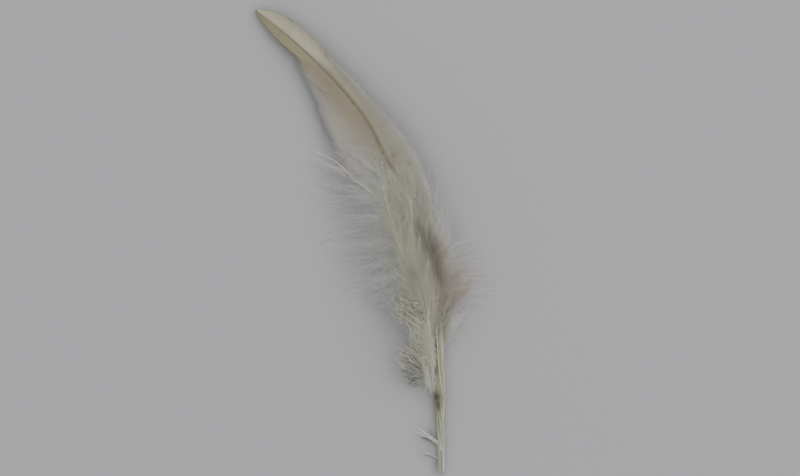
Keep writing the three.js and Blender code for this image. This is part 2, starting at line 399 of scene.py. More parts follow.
def rampNode(tree, source, stops):
    node = tree.nodes.new("ShaderNodeValToRGB")
    while len(node.color_ramp.elements) < len(stops):
        node.color_ramp.elements.new(0.5)
    for element, (position, colour) in zip(node.color_ramp.elements, stops):
        element.position = position
        element.color = (*colour, 1)
    tree.links.new(source, node.inputs[0])
    return node.outputs["Color"]


def noiseNode(tree, scale, stretch=(1, 1, 1)):
    place = tree.nodes.new("ShaderNodeTexCoord")
    mapping = tree.nodes.new("ShaderNodeMapping")
    mapping.inputs["Scale"].default_value = stretch
    noise = tree.nodes.new("ShaderNodeTexNoise")
    noise.inputs["Scale"].default_value = scale
    noise.inputs["Detail"].default_value = 3
    tree.links.new(place.outputs["Object"], mapping.inputs["Vector"])
    tree.links.new(mapping.outputs[0], noise.inputs["Vector"])
    return noise.outputs["Fac"]


def greyStops(start, darkest, end):  # from a grey to white
    return [(start, (darkest,) * 3), (end, (1, 1, 1))]


# The colour runs from root to tip, changes with the place, takes brown stain and painted shade by place,
# and has a shade from barb to barb.
def barbMaterial(name, look):
    material, tree, principled = newMaterial(name)
    colour = rampNode(tree, attributeNode(tree, "along"), look["stops"])
    for key in ("downy", "gold", "warm", "blush"):
        if key in look:
            colour = mixNode(tree, attributeNode(tree, key), colour, look[key])
    mottle = rampNode(tree, noiseNode(tree, look["mottleScale"]), greyStops(0.3, look["mottleDark"], 0.7))
    colour = mixNode(tree, 1.0, colour, mottle, "MULTIPLY")
    shade = rampNode(tree, attributeNode(tree, "uneven"), greyStops(0, look["darkest"], 1))
    colour = mixNode(tree, 1.0, colour, shade, "MULTIPLY")
    colour = mixNode(tree, attributeNode(tree, "stainAndShade"), colour, look["brown"])
    tree.links.new(colour, principled.inputs["Base Color"])
    principled.inputs["Roughness"].default_value = look["roughness"]
    principled.inputs["Specular IOR Level"].default_value = look["specular"]
    principled.inputs["Sheen Weight"].default_value = look["sheen"]
    principled.inputs["Sheen Roughness"].default_value = look["sheenRoughness"]
    through = tree.nodes.new("ShaderNodeBsdfTranslucent")
    blend = tree.nodes.new("ShaderNodeMixShader")
    blend.inputs[0].default_value = look["letsThrough"]
    tree.links.new(colour, through.inputs["Color"])
    tree.links.new(principled.outputs[0], blend.inputs[1])
    tree.links.new(through.outputs[0], blend.inputs[2])
    tree.links.new(blend.outputs[0], tree.nodes["Material Output"].inputs["Surface"])
    return material


rightVaneLook = {
    "stops": [
        (0.0, (0.74, 0.67, 0.53)), (0.3, (0.78, 0.73, 0.60)),
        (0.7, (0.82, 0.79, 0.70)), (1.0, (0.92, 0.91, 0.88)),
    ],
    "downy": (0.86, 0.85, 0.76),
    "gold": (0.93, 0.89, 0.76),
    "brown": (0.20, 0.14, 0.10),
    "mottleScale": 90,
    "mottleDark": 0.93,
    "darkest": 0.95,
    "roughness": 0.6,
    "specular": 0.3,
    "sheen": 0.1,
    "sheenRoughness": 0.6,
    "letsThrough": 0.4,
}
# The left vane's colours are darker than the right vane's: painted shade for the vane that slopes away from
# the light.
leftVaneShadedLook = dict(
    rightVaneLook,
    stops=[
        (0.0, (0.70, 0.62, 0.48)), (0.4, (0.70, 0.615, 0.47)),
        (0.8, (0.755, 0.70, 0.585)), (1.0, (0.86, 0.84, 0.81)),
    ],
    downy=(0.86, 0.84, 0.80),
    gold=(0.76, 0.69, 0.50),
)
downLook = {
    "stops": [
        (0.0, (0.965, 0.96, 0.92)), (0.35, (0.97, 0.965, 0.945)),
        (0.7, (0.97, 0.97, 0.965)), (1.0, (0.97, 0.97, 0.97)),
    ],
    "warm": (0.958, 0.952, 0.902),
    "blush": (0.945, 0.885, 0.825),
    # brown for stains, and for painted shade in the slit and hollows of the down
    "brown": (0.43, 0.325, 0.24),
    "mottleScale": 120,
    "mottleDark": 0.97,
    "darkest": 0.95,
    "roughness": 0.75,
    "specular": 0.3,
    "sheen": 0.1,
    "sheenRoughness": 0.6,
    "letsThrough": 0.6,
}
duskyLook = dict(downLook, darkest=0.91)
stripLook = dict(
    downLook,
    stops=[(0.0, (0.94, 0.945, 0.88)), (0.6, (0.96, 0.962, 0.92)), (1.0, (0.965, 0.965, 0.95))],
    warm=(0.965, 0.967, 0.925),
    darkest=0.97,
    letsThrough=0.1,
)
strandLook = dict(
    downLook,
    stops=[(0.0, (0.90, 0.88, 0.78)), (0.5, (0.95, 0.94, 0.86)), (1.0, (0.95, 0.94, 0.90))],
    warm=(0.94, 0.92, 0.82),
    # a dull grey-brown, mostly painted shade for the dark gaps in the clumps
    brown=(0.28, 0.25, 0.22),
    darkest=0.6,
    letsThrough=0.3,
    roughness=0.45,
)
# Pale lines along the quill are painted highlights; the dark ones, in its brown, are painted shade in
# grooves.
quillHighlightAndShadeLook = dict(strandLook, stops=[(0.0, (0.84, 0.83, 0.60)), (1.0, (0.90, 0.89, 0.76))])
rightVaneMaterial = barbMaterial("rightVaneBarbs", rightVaneLook)
leftVaneShadedMaterial = barbMaterial("leftVaneBarbs", leftVaneShadedLook)
downMaterial = barbMaterial("softDown", downLook)
duskyMaterial = barbMaterial("duskyDown", duskyLook)
stripMaterial = barbMaterial("paleStrips", stripLook)
strandMaterial = barbMaterial("stiffStrands", strandLook)
quillHighlightAndShadeMaterial = barbMaterial("quillHighlightAndShadeStrands", quillHighlightAndShadeLook)

# The smooth part of each vane: barbs side by side.
vaneBarb = {
    "rootHalf": 0.07,  # half widths of the rib, in mm
    "tipHalf": 0.045,
    "flatten": 3.8,
    "perSideMm": 1.7,  # barbules for each mm of each side
    "length": 0.6,
    "lean": (35, 8),  # degrees from the rib, and their spread
    "lift": (-4, 5),
    "thick": 0.035,
    "bareRoot": 0.04,
    "ribDullness": 0,
    "envelope": ([0, 0.7, 0.92, 1.0], [1, 1, 0.9, 0.5]),  # lengths of barbules from root to tip
}
vaneLay = {
    "rootOut": 0.55,  # where barbs leave the shaft, in its radius
    "rootUp": 0.7,
    "groups": 90,  # neighbours hang together
    "perGroup": 5,
    "groupTrim": 0.006,
    "barbTrim": 0.008,
    "longest": 0.02,
    "leave": 26,  # degrees from the shaft
    "bend": 0.6,
    "drops": (0.3, 0.66),  # how much of the drop is behind at each third
    "groupLift": 0.01,
    "shade": 0.6,
    "groupShade": 0.08,
    "barbShade": 0.1,
    "tiltSpread": 0.03,
}
leftSheet = {
    "side": -1,
    "stations": (7.0, 12.95),
    "edge": [  # x, y, height
        (-19.0, 72.2, 2.9), (-23.8, 77.9, 2.8), (-27.7, 83.8, 2.7), (-30.8, 90.2, 2.5),
        (-33.4, 97.2, 2.4), (-36.1, 103.1, 2.5), (-38.4, 107.6, 2.5), (-42.2, 111.4, 2.2),
        (-45.4, 114.7, 1.8), (-48.8, 119.3, 1.5),
    ],
    "barbs": 280,
    "tilt": -0.12,
    "swell": 0.0,
    "slits": [(0.2, 0.012, 0.1)],  # place up the vane, half width of the slit, how much shorter
}
rightSheet = {
    "side": 1,
    "stations": (6.9, 12.95),
    "edge": [
        (-1.7, 65.5, 5.0), (-2.6, 71.5, 4.9), (-4.7, 77.6, 4.7), (-7.9, 84.4, 4.3),
        (-12.6, 90.5, 3.9), (-19.2, 97.8, 3.5), (-26.9, 105.7, 3.1), (-33.1, 112.0, 2.8),
        (-38.4, 116.6, 2.4), (-43.4, 119.4, 2.0), (-48.0, 120.1, 1.7),
    ],
    "barbs": 230,
    "tilt": -0.1,
    "swell": 0.15,
    "slits": [(0.77, 0.008, 0.1), (0.9, 0.008, 0.06)],
}


def sheetCurves(sheet):
    count, side = sheet["barbs"], sheet["side"]
    share = np.linspace(0, 1, count)
    centre, radius, along, right = stemAt(shaft, between(sheet["stations"], share))
    start = centre + side * right * radius * vaneLay["rootOut"]
    start[:, 2] += vaneLay["rootUp"] * radius[:, 0]
    end = splineAt(sheet["edge"], share * (len(sheet["edge"]) - 1))
    group = np.repeat(draw.normal(0, 1, vaneLay["groups"]), vaneLay["perGroup"])[:count]
    trim = vaneLay["groupTrim"] * group + draw.normal(0, vaneLay["barbTrim"], count)
    for slitPlace, slitWidth, depth in sheet["slits"]:
        trim -= depth * np.exp(-(((share - slitPlace) / slitWidth) ** 2))
    end = start + (end - start) * (1 + np.minimum(trim, vaneLay["longest"]))[:, None]
    reach = np.linalg.norm(end - start, axis=-1, keepdims=True)
    heading = turned(along, -side * vaneLay["leave"])
    rise = start + heading * reach / 3
    bend = end + (start + heading * reach / 2 - end) * vaneLay["bend"]
    drop = end[:, 2] - start[:, 2]
    swell = sheet["swell"] * reach[:, 0] ** 0.5
    rise[:, 2] = start[:, 2] + drop * vaneLay["drops"][0] + swell
    bend[:, 2] = start[:, 2] + drop * vaneLay["drops"][1] + swell + vaneLay["groupLift"] * group
    return np.stack([start, rise, bend, end], 1), group


def buildSheet(name, sheet, material, node):
    curves, group = sheetCurves(sheet)
    shade = vaneLay["shade"] + vaneLay["groupShade"] * group
    shade += draw.normal(0, vaneLay["barbShade"], len(group))
    parts = growBarbs(curves, vaneBarb, np.clip(shade, 0, 1), sheet["tilt"], vaneLay["tiltSpread"])
    buildPiece(name, parts, material, node, smooth=True)


buildSheet("leftVaneBarbs", leftSheet, leftVaneShadedMaterial, "left_vane")
buildSheet("rightVaneBarbs", rightSheet, rightVaneMaterial, "right_vane")

# The down: locks of fluffy barbs.
softBarb = {
    "rootHalf": 0.035,
    "tipHalf": 0.014,
    "flatten": 1.0,
    "perSideMm": 3.2,
    "length": 2.6,
    "lean": (44, 20),
    "lift": (0, 30),
    "thick": 0.016,
    "bareRoot": 0.04,
    "ribDullness": 0,
    "envelope": ([0, 0.1, 0.6, 0.85, 1.0], [0.5, 1, 1, 0.6, 0.25]),
}
duskyBarb = dict(softBarb, rootHalf=0.03, ribDullness=0.9)
mattedStrand = dict(
    softBarb,
    rootHalf=0.17,
    tipHalf=0.06,
    flatten=1.3,
    perSideMm=1.8,
    length=0.7,
    thick=0.026,
)
featheryStrand = dict(mattedStrand, tipHalf=0.09, perSideMm=5.0, length=0.8)
ribbonBarb = dict(softBarb, rootHalf=0.032, perSideMm=5.0, length=1.1, lean=(28, 16))

plainLock = {  # what a family of locks does where it doesn't say otherwise
    "carrier": shaft,
    "side": -1,
    "barb": softBarb,
    "shortest": 0.4,
    "spread": 0.8,
    "wisp": 0.7,
    "rootShare": 0.8,
    "lift": 0,
    "leaveSpread": 4,
    "shade": 0.65,
    "fromRoot": False,  # whether heights of tips count from the root
}
lockChance = {
    "rootHeights": (-0.5, 0.6),  # in the carrier's radius
    "lengths": 0.25,
    "scatter": np.array([0.5, 0.5, 0.35]),  # shares of a family's scatter at the tips
    "bendScatter": 0.5,
    "bendHeight": 0.5,
    "lockShade": 0.2,
    "barbShade": 0.2,
}
bendDrop = 0.4  # share of the drop that is still ahead where a barb bends

leftDown = {
    "count": 20,
    "stations": (4.9, 7.9),  # rows of the carrier between which the locks grow
    "leave": 20,  # degrees from the carrier
    "leaveSpread": 14,
    "tips": [
        (-17.5, 44.6), (-22.5, 44.6), (-28.6, 47.6), (-30.2, 54.5),
        (-31.8, 62.0), (-32.6, 70.0), (-32.4, 78.5), (-27.0, 83.0),
    ],
    "layers": [  # share of the reach, bow upwards, height of the tips
        (1.0, 1.0, 0.8), (0.7, 2.0, 3.2), (0.93, 1.5, 1.4),
        (0.6, 2.4, 4.2), (0.84, 1.9, 2.4),
    ],
    "perLock": 14,
    "spread": 5.0,
    "wisp": 1.0,
    "scatter": 3.1,
    "shade": 1.1,
    "barb": dict(duskyBarb, perSideMm=2.5),
}
leftHaze = dict(
    leftDown,
    layers=[(0.62, 2.1, 3.8), (0.5, 2.4, 4.8), (0.76, 1.8, 2.8)],
    perLock=13,
    scatter=3.0,
    shortest=0.5,
    barb=dict(duskyBarb, perSideMm=3.6, lean=(50, 24)),
)
edgeWisps = dict(  # loose ends that stand out from the down
    leftDown,
    count=8,
    stations=(4.9, 7.8),
    leaveSpread=3,
    tips=[
        (-22.5, 44.0), (-30.4, 49.4), (-31.0, 55.0), (-32.0, 59.0),
        (-33.2, 63.5), (-34.2, 71.0), (-34.2, 75.4), (-34.4, 80.6),
    ],
    layers=[(1.0, 1.2, 0.6), (1.0, 1.0, 1.4)],
    perLock=8,
    spread=0.3,
    wisp=0.5,
    scatter=0.8,
    shortest=0.75,
    barb=dict(duskyBarb, rootHalf=0.045, tipHalf=0.02, length=1.1, perSideMm=2.6, ribDullness=1.0),
)
vaneSkirt = dict(  # softens the lower edge of the left vane
    leftDown,
    count=9,
    stations=(6.8, 8.2),
    leave=22,
    rootShare=0.3,
    lift=0.5,
    tips=[(-28.0, 75.0), (-30.0, 79.0), (-30.6, 82.5), (-30.4, 85.0), (-29.0, 87.0)],
    layers=[(1.0, 0.5, 3.4), (0.82, 0.8, 4.0), (0.92, 0.6, 3.0)],
    perLock=12,
    scatter=2.2,
    shortest=0.5,
)
topWisps = dict(
    leftDown,
    count=7,
    stations=(7.2, 8.0),
    leaveSpread=5,
    tips=[(-30.0, 74.0), (-32.6, 77.6), (-33.6, 80.2), (-33.2, 82.6), (-31.4, 84.8), (-29.8, 86.2)],
    layers=[(1.0, 0.5, 2.2), (0.86, 0.8, 3.0)],
    perLock=6,
    spread=2.0,
    wisp=0.7,
    scatter=1.6,
    shortest=0.6,
    barb=softBarb,
)
upperClump = {
    "count": 4,
    "stations": (4.3, 5.1),
    "leave": 46,
    "leaveSpread": 16,
    "tips": [(-8.8, 39.0), (-12.2, 41.2), (-14.4, 44.2), (-14.9, 47.6)],
    "layers": [(1.0, 1.0, 4.0), (0.94, 1.4, 5.0)],
    "perLock": 5,
    "spread": 1.6,
    "wisp": 1.4,
    "scatter": 2.6,
    "shortest": 0.55,
    "barb": mattedStrand,
}
lowerClump = {
    "count": 7,
    "stations": (3.5, 4.4),
    "leave": 56,
    "leaveSpread": 12,
    "tips": [(-6.4, 24.6), (-8.8, 24.8), (-11.2, 26.0), (-13.2, 28.6), (-12.0, 31.4), (-9.4, 34.0)],
    "layers": [(1.0, 0.9, 0.8), (0.86, 1.4, 2.2), (0.7, 1.6, 3.0)],
    "perLock": 4,
    "spread": 1.1,
    "scatter": 2.0,
    "shortest": 0.5,
    "barb": mattedStrand,
}
lowerFuzz = dict(
    lowerClump,
    layers=[(1.08, 0.6, 0.4), (1.0, 0.8, 1.0), (0.9, 0.9, 1.6)],
    perLock=7,
    spread=2.0,
    barb=dict(softBarb, length=1.3),
)
upperFuzz = dict(
    upperClump,
    layers=[(1.05, 0.8, 3.4), (1.0, 1.0, 4.4), (0.9, 1.2, 5.2)],
    perLock=10,
    spread=2.0,
    barb=dict(softBarb, length=1.3),
)
rightDown = {
    "side": 1,
    "count": 17,
    "stations": (4.5, 6.95),
    "leave": 20,
    "tips": [
        (3.0, 39.2), (7.8, 43.2), (13.0, 46.0), (16.6, 50.2), (13.4, 55.4),
        (8.8, 60.2), (4.2, 64.8), (1.0, 70.0), (-1.7, 78.4),
    ],
    "layers": [(1.0, 0.6, 0.6), (0.8, 2.0, 3.4), (0.92, 1.4, 1.6), (0.7, 2.4, 4.6)],
    "perLock": 11,
    "spread": 1.4,
    "wisp": 0.5,
    "scatter": 1.7,
    "shortest": 0.35,
    "barb": dict(softBarb, rootHalf=0.034),
}
plumeLeft = {
    "carrier": stem,
    "count": 9,
    "stations": (2.6, 4.8),
    "leave": 24,
    "tips": [(-13.6, 47.4), (-15.0, 51.6), (-15.2, 56.4), (-13.4, 60.6), (-11.4, 63.6), (-8.9, 65.8)],
    "leaveSpread": 14,
    "layers": [(1.0, 0.4, 5.6), (0.88, 0.8, 6.8), (0.8, 0.6, 6.2)],
    "perLock": 12,
    "spread": 3.0,
    "wisp": 1.0,
    "scatter": 2.6,
}
plumeRight = dict(
    plumeLeft,
    side=1,
    count=6,
    stations=(2.4, 4.7),
    leave=12,
    tips=[(-2.0, 48.5), (-3.4, 54.0), (-5.4, 60.5), (-7.6, 66.2)],
    leaveSpread=10,
    layers=[(1.0, 0.3, 7.2), (0.9, 0.5, 7.7)],
    perLock=11,
    spread=2.0,
    scatter=2.0,
)
crestLeft = dict(  # the afterfeather's longest barbs, over the shaft and the lower ends of both vanes
    plumeLeft,
    count=6,
    stations=(3.6, 4.9),
    leave=8,
    tips=[(-14.2, 70.0), (-18.6, 76.0), (-18.8, 81.0), (-15.0, 82.0)],
    leaveSpread=12,
    layers=[(1.0, 0.2, 6.2), (0.86, 0.4, 6.8), (0.7, 0.4, 7.3)],
    perLock=8,
    spread=2.0,
    scatter=2.4,
)
crestRight = dict(
    crestLeft,
    side=1,
    leave=3,
    tips=[(-2.6, 66.0), (-4.0, 73.0), (-7.6, 78.6), (-11.4, 81.0)],
)
shaftCover = {  # hides the shaft between the two halves of the down
    "rootShare": 0.1,
    "lift": 1.0,
    "count": 11,
    "stations": (5.0, 7.9),
    "leave": 4,
    "leaveSpread": 16,
    "tips": [(-4.4, 57.0), (-6.2, 62.0), (-9.0, 68.5), (-11.4, 73.0), (-13.2, 76.5), (-15.4, 79.4)],
    "layers": [(1.0, 0.3, 6.4), (0.9, 0.4, 6.9)],
    "perLock": 11,
    "spread": 1.6,
    "scatter": 1.4,
}
edgeTuft = {  # upright hairs along the right edge
    "side": 1,
    "count": 6,
    "stations": (5.2, 6.8),
    "leave": 10,
    "tips": [(1.6, 70.0), (0.0, 74.5), (-1.6, 78.5), (-3.4, 80.5), (-5.4, 81.5)],
    "layers": [(1.0, 0.4, 4.6), (0.85, 0.6, 5.4)],
    "perLock": 6,
    "scatter": 1.0,
    "shortest": 0.6,
}
upperTangle = {  # short matted barbs that cross
    "middle": (-10.2, 42.6),
    "halfSizes": (4.3, 4.3),
    "heights": (6.2, 8.2),
    "climb": 0.1,  # rise for each mm of y
    "ways": (128, 138, 148, 96, 172),  # degrees
    "halfLengths": (0.6, 1.6),
    "halfWidths": (0.04, 0.09),
    "brown": (0, 0.14),
    "count": 130,
}
upperShade = dict(  # dark brown barbs underneath: painted shade in the gaps between the matted strands
    upperTangle,
    middle=(-10.2, 42.4),
    halfSizes=(4.0, 3.6),
    heights=(5.0, 6.4),
    ways=(136, 150, 100),
    halfLengths=(0.8, 1.8),
    halfWidths=(0.06, 0.12),
    brown=(0.4, 0.8),
    count=26,
)
# painted shade in the lower clump's hollows
lowerShade = dict(
    upperShade,
    middle=(-8.2, 27.4),
    halfSizes=(2.6, 1.8),
    heights=(1.0, 2.4),
    ways=(150, 178, 130),
    halfLengths=(0.8, 1.6),
    brown=(0.6, 0.9),
    count=20,
)
# painted shadow under the lower clump's curls
footShade = dict(
    lowerShade,
    middle=(-7.8, 24.0),
    halfSizes=(2.4, 1.3),
    heights=(0.3, 1.4),
    climb=0,
    ways=(178, 200, 150),
    halfLengths=(0.6, 1.2),
    halfWidths=(0.05, 0.1),
    count=22,
)
lowerTangle = dict(
    upperTangle,
    middle=(-8.0, 30.4),
    halfSizes=(3.6, 4.2),
    heights=(3.4, 5.4),
    climb=0.12,
    ways=(128, 136, 150),
    halfLengths=(0.7, 2.1),
    halfWidths=(0.05, 0.11),
    brown=(0, 0.1),
    count=80,
)
footTangle = dict(
    lowerTangle,
    middle=(-8.6, 26.4),
    halfSizes=(4.2, 3.2),
    heights=(2.2, 4.0),
    ways=(150, 178, 205),
    halfLengths=(0.6, 1.8),
    halfWidths=(0.04, 0.1),
    count=44,
)
tangles = [upperShade, upperTangle, lowerShade, footShade, lowerTangle, footTangle]
stemBand = {  # fine barbs that lie along the stem
    "middle": (-3.8, 31.4),
    "halfSizes": (1.5, 8.8),
    "heights": (3.9, 5.0),
    "climb": 0.17,
    "ways": (88, 94, 102),
    "halfLengths": (1.4, 3.6),
    "halfWidths": (0.022, 0.034),
    "brown": (0, 0.1),
    "count": 90,
}
outerBand = dict(
    stemBand,
    middle=(-7.0, 36.8),
    halfSizes=(2.4, 3.4),
    heights=(4.4, 5.6),
    climb=0.15,
    ways=(92, 100, 108),
    halfLengths=(1.2, 2.8),
    count=36,
)
clumpBand = {  # pale down that hangs between the clumps
    "carrier": stem,
    "count": 6,
    "stations": (1.7, 3.6),
    "leave": 50,
    "leaveSpread": 12,
    "tips": [(-6.4, 30.6), (-8.2, 33.4), (-9.2, 36.6), (-9.6, 40.0), (-10.6, 45.0)],
    "layers": [(1.0, 0.5, 5.6), (0.85, 0.7, 6.4)],
    "perLock": 12,
    "scatter": 1.3,
    "shortest": 0.5,
}
coverLeft = {  # lies over the lower end of the smooth vane
    "count": 13,
    "stations": (5.9, 8.2),
    "leave": 20,
    "leaveSpread": 16,
    "rootShare": 0.2,
    "lift": 0.6,
    "tips": [(-17.0, 60.0), (-22.0, 66.0), (-25.0, 74.0), (-24.0, 80.0), (-19.0, 82.0), (-13.0, 80.0)],
    "layers": [(1.0, 0.5, 3.3), (0.8, 0.8, 4.2), (0.6, 0.8, 5.0)],
    "perLock": 11,
    "spread": 3.0,
    "wisp": 1.0,
    "scatter": 2.4,
    "shortest": 0.35,
}
coverRight = {
    "side": 1,
    "count": 12,
    "stations": (5.6, 8.0),
    "leave": 10,
    "tips": [(2.4, 60.0), (0.8, 66.0), (-1.6, 73.0), (-4.6, 78.0), (-9.0, 81.0), (-12.0, 82.0)],
    "layers": [(1.0, 0.4, 5.4), (0.85, 0.5, 5.8), (0.7, 0.6, 6.2)],
    "perLock": 11,
    "scatter": 1.3,
    "shortest": 0.35,
}
stripLeft = {  # a pale soft band that widens up the stem
    "carrier": stem,
    "count": 12,
    "stations": (0.5, 3.0),
    "leave": 14,
    "leaveSpread": 8,
    "tips": [(-4.4, 25.0), (-6.0, 29.0), (-7.4, 34.0), (-8.4, 40.0), (-8.6, 47.0), (-8.0, 53.0)],
    "rootShare": 0.6,
    "lift": 0.6,
    "fromRoot": True,
    "layers": [(1.0, 0.2, 1.2), (0.8, 0.3, 1.8)],
    "perLock": 6,
    "spread": 2.0,
    "wisp": 1.0,
    "scatter": 1.3,
    "barb": ribbonBarb,
}
stripRight = dict(
    stripLeft,
    side=1,
    count=6,
    leave=2,
    tips=[(-2.2, 26.0), (-2.8, 33.0), (-3.4, 41.0), (-5.0, 51.0)],
    layers=[(1.0, 0.1, 1.0)],
)

# Single barbs: root, tip, how far they bow to the left of their way and upwards, half width, how brown.
longBarbs = [
    ((-15.1, 70.7, 6.6), (-34.1, 81.9, 2.6), -1.3, 0.2, 0.12, 0),
    ((-24.5, 77.6, 5.0), (-34.0, 83.4, 2.4), -1.0, 0.3, 0.12, 0),
    ((-25.0, 76.6, 4.6), (-33.6, 80.6, 2.2), -0.9, 0.3, 0.09, 0),
    ((-18.2, 72.2, 6.8), (-24.4, 76.6, 5.8), -0.3, 0.2, 0.13, 0),
]
clumpBarbs = [
    ((-6.0, 37.6, 5.2), (-13.6, 43.1, 6.2), 0.3, 0.5, 0.2, 0),
    ((-5.6, 38.6, 5.6), (-11.6, 42.9, 6.6), -0.3, 0.4, 0.18, 0),
    ((-4.6, 28.0, 3.4), (-8.8, 33.5, 4.4), 0.3, 0.4, 0.16, 0),
    ((-4.4, 27.2, 3.3), (-9.8, 32.6, 3.8), -0.3, 0.5, 0.14, 0),
    ((-3.8, 26.6, 3.4), (-13.0, 29.8, 1.6), -1.0, 0.9, 0.13, 0),
    ((-3.4, 25.4, 3.2), (-8.6, 27.4, 2.6), -0.6, 0.5, 0.13, 0),
    ((-3.2, 23.4, 2.6), (-7.9, 23.2, 1.2), -1.0, 0.7, 0.15, 0),
    ((-3.4, 24.4, 2.8), (-8.6, 24.6, 1.4), -1.1, 0.8, 0.14, 0),
    ((-4.8, 29.4, 4.2), (-9.8, 33.2, 4.6), 0.2, 0.4, 0.15, 0),
]
tuftBarbs = [
    ((-0.2, 36.5, 3.0), (3.2, 45.0, 4.6), -0.3, 0.4, 0.1, 0.5),
    ((-0.2, 38.0, 3.2), (5.0, 46.5, 4.4), -0.4, 0.5, 0.08, 0.1),
    ((-0.3, 39.0, 3.4), (4.0, 49.0, 5.0), -0.4, 0.5, 0.11, 0.6),
    ((-0.4, 41.0, 3.6), (7.0, 48.5, 4.0), -0.5, 0.5, 0.1, 0.6),
    ((-0.4, 42.0, 3.8), (5.8, 51.0, 4.8), -0.5, 0.5, 0.08, 0.1),
    ((-0.5, 43.0, 3.8), (3.4, 53.0, 5.4), -0.3, 0.5, 0.1, 0.5),
    ((-0.4, 39.5, 3.4), (1.6, 47.0, 5.2), -0.2, 0.5, 0.08, 0.1),
    ((-0.6, 44.5, 4.0), (8.4, 51.0, 3.8), -0.6, 0.5, 0.09, 0.4),
    ((-1.0, 36.0, 3.2), (-0.4, 44.5, 5.2), 0.2, 0.4, 0.09, 0.5),
    ((-1.4, 37.0, 3.4), (-1.6, 46.0, 5.6), 0.1, 0.4, 0.09, 0.2),
]
basalBarbs = [
    ((-1.2, 7.2, 1.3), (-6.8, 10.4, 1.2), -0.5, 0.6, 0.32, 0),
    ((-1.2, 7.7, 1.6), (-6.2, 11.2, 1.5), -0.1, 0.7, 0.24, 0),
    # a dark barb just under the bright one: painted shadow
    ((-1.2, 6.8, 0.9), (-5.6, 9.0, 0.4), -0.5, 0.3, 0.22, 0.9),
    ((-1.3, 8.6, 1.3), (-3.9, 11.2, 0.4), 0.1, 0.3, 0.12, 0.4),
    ((-1.3, 3.6, 1.0), (-6.2, 5.4, 0.6), -0.4, 0.3, 0.2, 0.1),
    ((-1.3, 3.3, 0.8), (-4.8, 4.4, 0.3), -0.3, 0.2, 0.1, 0.5),
    ((-0.9, 5.6, 1.2), (-3.4, 1.0, 0.3), 0.4, 0.2, 0.08, 0.3),
    ((-0.9, 4.2, 1.2), (-2.7, 0.0, 0.3), 0.3, 0.1, 0.09, 0.3),
    ((0.4, 8.1, 1.2), (2.3, 8.3, 0.4), 0.1, 0.1, 0.06, 0.1),
    ((-1.0, 1.8, 1.3), (-1.5, -0.4, 0.7), 0.0, 0.0, 0.12, 0.1),
    ((0.1, 1.6, 1.2), (0.4, -0.5, 0.6), 0.0, 0.0, 0.11, 0.2),
]
# Lines along the quill: pale ones are painted highlights, the first along the shaft's edge; dark ones are
# painted shade in a groove and where the end splits.
quillHighlightAndShadeLines = [
    ((-1.75, 38.5, 3.5), (-0.2, 20.0, 3.0), -0.4, 0.15, 0.16, 0),
    ((-1.5, 15.8, 2.0), (-1.35, 7.6, 1.6), 0.0, 0.1, 0.1, 0),
    ((-0.5, 17.0, 2.5), (0.25, 8.3, 1.75), 0.0, 0.3, 0.12, 0),
    ((-1.3, 14.2, 2.15), (-0.25, 6.4, 2.0), 0.0, 0.1, 0.07, 0.8),
    ((-0.9, 7.5, 1.85), (-1.1, -0.1, 1.4), 0.0, 0.1, 0.08, 0),
    ((-0.2, 6.0, 1.9), (0.3, -0.1, 1.1), 0.0, 0.1, 0.07, 0.2),
    ((-0.6, 5.6, 2.02), (-0.4, -0.1, 1.6), 0.1, 0.0, 0.09, 0.9),
]

tangleChance = {"way": 8, "tipHeight": 0.4, "bowAside": 0.25, "bowUp": 0.5}


def tangledBarbs(tangle):
    barbs = []
    middle, climb = tangle["middle"], tangle["climb"]
    for _ in range(tangle["count"]):
        angle = draw.uniform(0, 2 * math.pi)
        radius = math.sqrt(draw.random())
        x = middle[0] + tangle["halfSizes"][0] * radius * math.cos(angle)
        y = middle[1] + tangle["halfSizes"][1] * radius * math.sin(angle)
        z = draw.uniform(*tangle["heights"]) + climb * (y - middle[1])
        way = math.radians(draw.choice(tangle["ways"]) + draw.normal(0, tangleChance["way"]))
        half = draw.uniform(*tangle["halfLengths"])
        step = np.array([half * math.cos(way), half * math.sin(way), climb * half * math.sin(way)])
        root = (x, y, z) - step
        tip = (x, y, z + draw.normal(0, tangleChance["tipHeight"])) + step
        bow = (draw.normal(0, tangleChance["bowAside"]), draw.uniform(0, tangleChance["bowUp"]))
        barbs.append((root, tip, *bow, draw.uniform(*tangle["halfWidths"]), draw.uniform(*tangle["brown"])))
    return barbs


def strayCurves(barbs):
    root = np.array([b[0] for b in barbs], float)
    tip = np.array([b[1] for b in barbs], float)
    bow = np.array([[b[2], b[3]] for b in barbs])
    way = unit(tip - root)
    left = np.stack([-way[:, 1], way[:, 0], np.zeros(len(way))], -1)
    aside = left * bow[:, 0:1] + np.array([0.0, 0.0, 1.0]) * bow[:, 1:2]
    return np.stack([root, root + (tip - root) / 3 + aside, root + (tip - root) * 2 / 3 + aside, tip], 1)


def growStrays(barbs, barb, dullest=1.0):
    widths = np.array([b[4] for b in barbs]) / barb["rootHalf"]
    parts = growBarbs(strayCurves(barbs), barb, draw.uniform(dullest, 1, len(barbs)), widths=widths)
    brown = np.array([b[5] for b in barbs])
    for part in parts:
        part["stainAndShade"] = brown[part["barbOf"]]
    return parts


